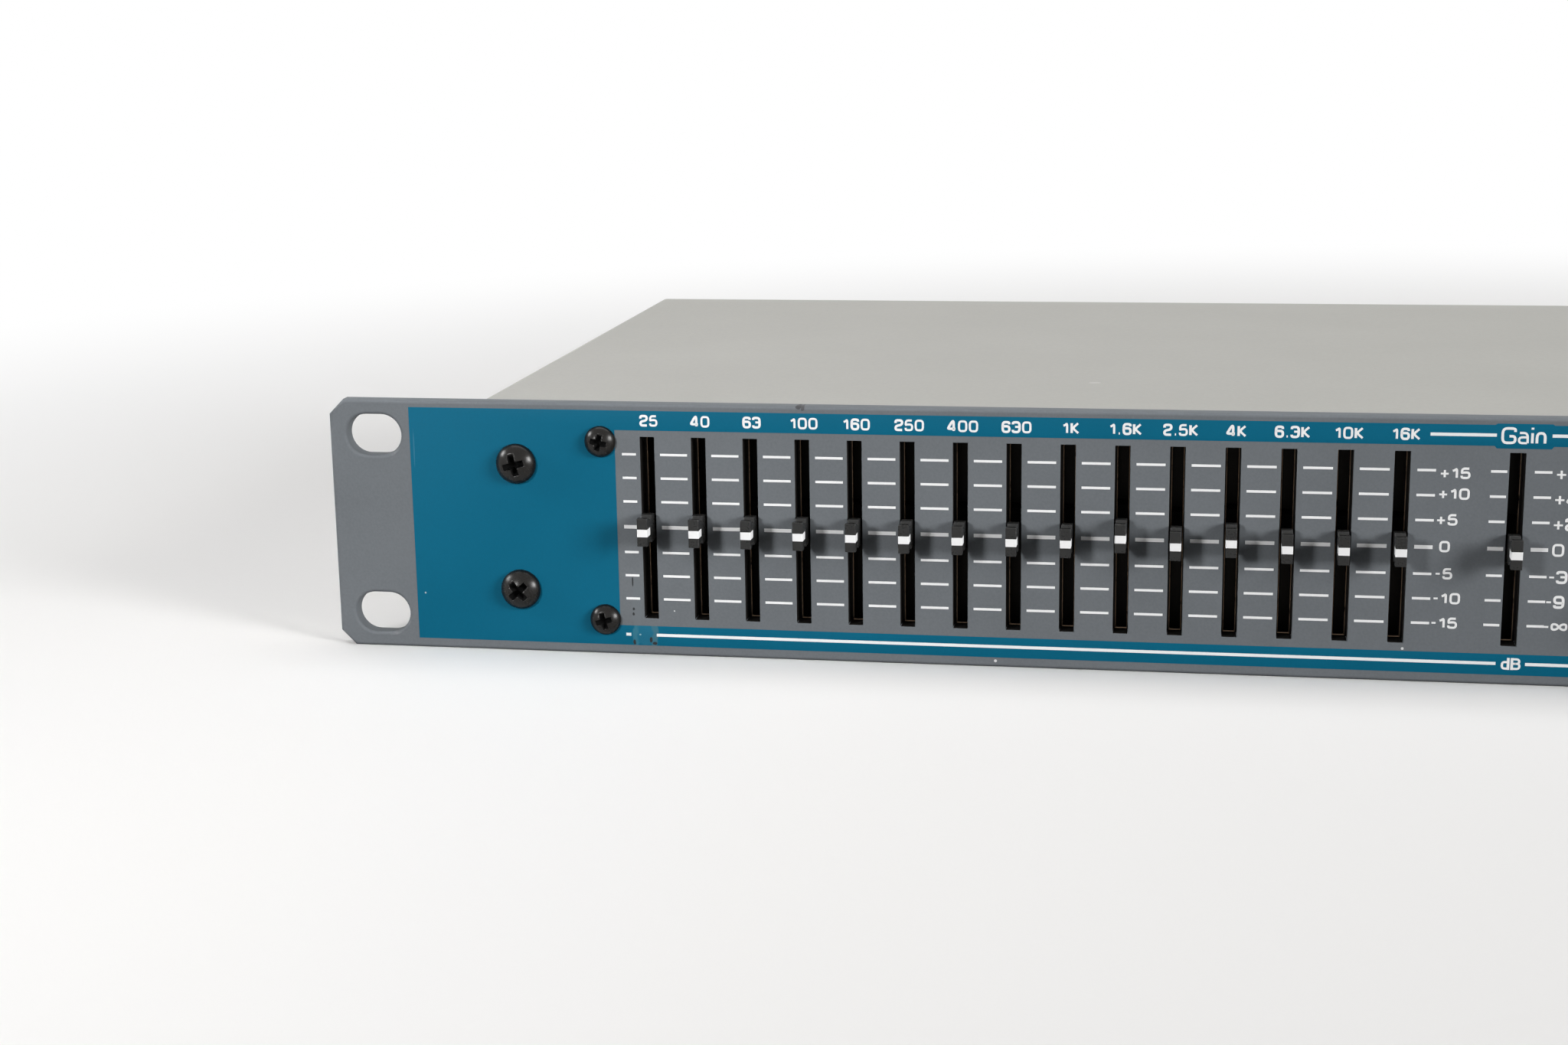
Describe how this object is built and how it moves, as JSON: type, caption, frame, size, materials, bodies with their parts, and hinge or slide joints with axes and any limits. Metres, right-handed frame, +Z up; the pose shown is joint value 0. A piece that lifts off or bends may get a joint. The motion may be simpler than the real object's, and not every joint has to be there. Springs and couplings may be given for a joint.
{
  "type": "graphic equalizer",
  "caption": "Low rack-mount graphic equalizer: slotted steel front with rows of sliding faders, bypass buttons and a power rocker, on a folded case with rear audio sockets.",
  "frame": {"origin": "centre of the base, under the middle of the bounding box", "axes": "+X to the panel's right as seen from the front, +Y to the back, +Z up"},
  "size_m": [0.481, 0.156, 0.044],
  "materials": {
    "panel_paint": "semi-matte grey paint with printed scales",
    "case_paint": "semi-matte grey paint on folded steel",
    "screw_black": "black oxide, glossy",
    "board": "solder mask",
    "housing_steel": "plated steel",
    "spacer_metal": "turned",
    "chip_plastic": "moulded",
    "capacitor_sleeve": "shrink sleeve",
    "core_steel": "lacquered plates",
    "cable_plastic": "extruded sheath",
    "switch_plastic": "moulded black",
    "lamp_lens": "tinted lens",
    "socket_plastic": "moulded black",
    "contact_metal": "nickel plate",
    "fader_plastic": "moulded black with a white mark"
  },
  "bodies": {
    "case": {"front_panel": "panel_paint", "chassis_tray": "case_paint", "top_cover": "case_paint", "panel_screws": "screw_black", "cover_screws": "screw_black", "slider_board_screws": "screw_black", "slider_board": "board", "fader_housings": "housing_steel", "board_spacers": "spacer_metal", "main_board": "board", "op_amp_chips": "chip_plastic", "voltage_regulators": "chip_plastic", "filter_capacitors": "capacitor_sleeve", "mains_transformer": "core_steel", "ribbon_cables": "cable_plastic", "power_leads": "cable_plastic", "switch_bodies": "switch_plastic", "indicator_lamps": "lamp_lens", "mains_inlet": "socket_plastic", "input_sockets": "socket_plastic", "output_sockets": "socket_plastic", "contact_pins": "contact_metal", "jack_sockets": "socket_plastic", "jack_nuts": "contact_metal", "socket_screws": "screw_black"},
    "ch1_fader_25": {"ch1_fader_25": "fader_plastic"},
    "ch1_fader_40": {"ch1_fader_40": "fader_plastic"},
    "ch1_fader_63": {"ch1_fader_63": "fader_plastic"},
    "ch1_fader_100": {"ch1_fader_100": "fader_plastic"},
    "ch1_fader_160": {"ch1_fader_160": "fader_plastic"},
    "ch1_fader_250": {"ch1_fader_250": "fader_plastic"},
    "ch1_fader_400": {"ch1_fader_400": "fader_plastic"},
    "ch1_fader_630": {"ch1_fader_630": "fader_plastic"},
    "ch1_fader_1k": {"ch1_fader_1k": "fader_plastic"},
    "ch1_fader_1k6": {"ch1_fader_1k6": "fader_plastic"},
    "ch1_fader_2k5": {"ch1_fader_2k5": "fader_plastic"},
    "ch1_fader_4k": {"ch1_fader_4k": "fader_plastic"},
    "ch1_fader_6k3": {"ch1_fader_6k3": "fader_plastic"},
    "ch1_fader_10k": {"ch1_fader_10k": "fader_plastic"},
    "ch1_fader_16k": {"ch1_fader_16k": "fader_plastic"},
    "ch1_gain_fader": {"ch1_gain_fader": "fader_plastic"},
    "ch2_fader_25": {"ch2_fader_25": "fader_plastic"},
    "ch2_fader_40": {"ch2_fader_40": "fader_plastic"},
    "ch2_fader_63": {"ch2_fader_63": "fader_plastic"},
    "ch2_fader_100": {"ch2_fader_100": "fader_plastic"},
    "ch2_fader_160": {"ch2_fader_160": "fader_plastic"},
    "ch2_fader_250": {"ch2_fader_250": "fader_plastic"},
    "ch2_fader_400": {"ch2_fader_400": "fader_plastic"},
    "ch2_fader_630": {"ch2_fader_630": "fader_plastic"},
    "ch2_fader_1k": {"ch2_fader_1k": "fader_plastic"},
    "ch2_fader_1k6": {"ch2_fader_1k6": "fader_plastic"},
    "ch2_fader_2k5": {"ch2_fader_2k5": "fader_plastic"},
    "ch2_fader_4k": {"ch2_fader_4k": "fader_plastic"},
    "ch2_fader_6k3": {"ch2_fader_6k3": "fader_plastic"},
    "ch2_fader_10k": {"ch2_fader_10k": "fader_plastic"},
    "ch2_fader_16k": {"ch2_fader_16k": "fader_plastic"},
    "ch2_gain_fader": {"ch2_gain_fader": "fader_plastic"},
    "ch1_bypass_button": {"ch1_bypass_button": "switch_plastic"},
    "ch2_bypass_button": {"ch2_bypass_button": "switch_plastic"},
    "power_rocker": {"power_rocker": "switch_plastic"}
  },
  "joints": [
    {"name": "ch1_slide_25", "type": "slide", "parent": "case", "child": "ch1_fader_25", "axis": [0, 0, 1], "range_m": [-0.013, 0.0126]},
    {"name": "ch1_slide_40", "type": "slide", "parent": "case", "child": "ch1_fader_40", "axis": [0, 0, 1], "range_m": [-0.013, 0.0126]},
    {"name": "ch1_slide_63", "type": "slide", "parent": "case", "child": "ch1_fader_63", "axis": [0, 0, 1], "range_m": [-0.013, 0.0126]},
    {"name": "ch1_slide_100", "type": "slide", "parent": "case", "child": "ch1_fader_100", "axis": [0, 0, 1], "range_m": [-0.013, 0.0126]},
    {"name": "ch1_slide_160", "type": "slide", "parent": "case", "child": "ch1_fader_160", "axis": [0, 0, 1], "range_m": [-0.013, 0.0126]},
    {"name": "ch1_slide_250", "type": "slide", "parent": "case", "child": "ch1_fader_250", "axis": [0, 0, 1], "range_m": [-0.013, 0.0126]},
    {"name": "ch1_slide_400", "type": "slide", "parent": "case", "child": "ch1_fader_400", "axis": [0, 0, 1], "range_m": [-0.013, 0.0126]},
    {"name": "ch1_slide_630", "type": "slide", "parent": "case", "child": "ch1_fader_630", "axis": [0, 0, 1], "range_m": [-0.013, 0.0126]},
    {"name": "ch1_slide_1k", "type": "slide", "parent": "case", "child": "ch1_fader_1k", "axis": [0, 0, 1], "range_m": [-0.013, 0.0126]},
    {"name": "ch1_slide_1k6", "type": "slide", "parent": "case", "child": "ch1_fader_1k6", "axis": [0, 0, 1], "range_m": [-0.01405, 0.01155]},
    {"name": "ch1_slide_2k5", "type": "slide", "parent": "case", "child": "ch1_fader_2k5", "axis": [0, 0, 1], "range_m": [-0.013, 0.0126]},
    {"name": "ch1_slide_4k", "type": "slide", "parent": "case", "child": "ch1_fader_4k", "axis": [0, 0, 1], "range_m": [-0.01375, 0.01185]},
    {"name": "ch1_slide_6k3", "type": "slide", "parent": "case", "child": "ch1_fader_6k3", "axis": [0, 0, 1], "range_m": [-0.013, 0.0126]},
    {"name": "ch1_slide_10k", "type": "slide", "parent": "case", "child": "ch1_fader_10k", "axis": [0, 0, 1], "range_m": [-0.013, 0.0126]},
    {"name": "ch1_slide_16k", "type": "slide", "parent": "case", "child": "ch1_fader_16k", "axis": [0, 0, 1], "range_m": [-0.013, 0.0126]},
    {"name": "ch1_gain_slide", "type": "slide", "parent": "case", "child": "ch1_gain_fader", "axis": [0, 0, 1], "range_m": [-0.013, 0.0126]},
    {"name": "ch2_slide_25", "type": "slide", "parent": "case", "child": "ch2_fader_25", "axis": [0, 0, 1], "range_m": [-0.013, 0.0126]},
    {"name": "ch2_slide_40", "type": "slide", "parent": "case", "child": "ch2_fader_40", "axis": [0, 0, 1], "range_m": [-0.013, 0.0126]},
    {"name": "ch2_slide_63", "type": "slide", "parent": "case", "child": "ch2_fader_63", "axis": [0, 0, 1], "range_m": [-0.013, 0.0126]},
    {"name": "ch2_slide_100", "type": "slide", "parent": "case", "child": "ch2_fader_100", "axis": [0, 0, 1], "range_m": [-0.013, 0.0126]},
    {"name": "ch2_slide_160", "type": "slide", "parent": "case", "child": "ch2_fader_160", "axis": [0, 0, 1], "range_m": [-0.013, 0.0126]},
    {"name": "ch2_slide_250", "type": "slide", "parent": "case", "child": "ch2_fader_250", "axis": [0, 0, 1], "range_m": [-0.013, 0.0126]},
    {"name": "ch2_slide_400", "type": "slide", "parent": "case", "child": "ch2_fader_400", "axis": [0, 0, 1], "range_m": [-0.013, 0.0126]},
    {"name": "ch2_slide_630", "type": "slide", "parent": "case", "child": "ch2_fader_630", "axis": [0, 0, 1], "range_m": [-0.013, 0.0126]},
    {"name": "ch2_slide_1k", "type": "slide", "parent": "case", "child": "ch2_fader_1k", "axis": [0, 0, 1], "range_m": [-0.013, 0.0126]},
    {"name": "ch2_slide_1k6", "type": "slide", "parent": "case", "child": "ch2_fader_1k6", "axis": [0, 0, 1], "range_m": [-0.013, 0.0126]},
    {"name": "ch2_slide_2k5", "type": "slide", "parent": "case", "child": "ch2_fader_2k5", "axis": [0, 0, 1], "range_m": [-0.013, 0.0126]},
    {"name": "ch2_slide_4k", "type": "slide", "parent": "case", "child": "ch2_fader_4k", "axis": [0, 0, 1], "range_m": [-0.013, 0.0126]},
    {"name": "ch2_slide_6k3", "type": "slide", "parent": "case", "child": "ch2_fader_6k3", "axis": [0, 0, 1], "range_m": [-0.013, 0.0126]},
    {"name": "ch2_slide_10k", "type": "slide", "parent": "case", "child": "ch2_fader_10k", "axis": [0, 0, 1], "range_m": [-0.013, 0.0126]},
    {"name": "ch2_slide_16k", "type": "slide", "parent": "case", "child": "ch2_fader_16k", "axis": [0, 0, 1], "range_m": [-0.013, 0.0126]},
    {"name": "ch2_gain_slide", "type": "slide", "parent": "case", "child": "ch2_gain_fader", "axis": [0, 0, 1], "range_m": [-0.013, 0.0126]},
    {"name": "ch1_bypass_press", "type": "slide", "parent": "case", "child": "ch1_bypass_button", "axis": [0, 1, 0], "range_m": [0, 0.0025], "stiffness_N_per_m": 400, "springref_m": -0.001},
    {"name": "ch2_bypass_press", "type": "slide", "parent": "case", "child": "ch2_bypass_button", "axis": [0, 1, 0], "range_m": [0, 0.0025], "stiffness_N_per_m": 400, "springref_m": -0.001},
    {"name": "power_rock", "type": "hinge", "parent": "case", "child": "power_rocker", "pos_m": [0.196, -0.0723, 0.022], "axis": [1, 0, 0], "range_deg": [-20, 0]}
  ]
}
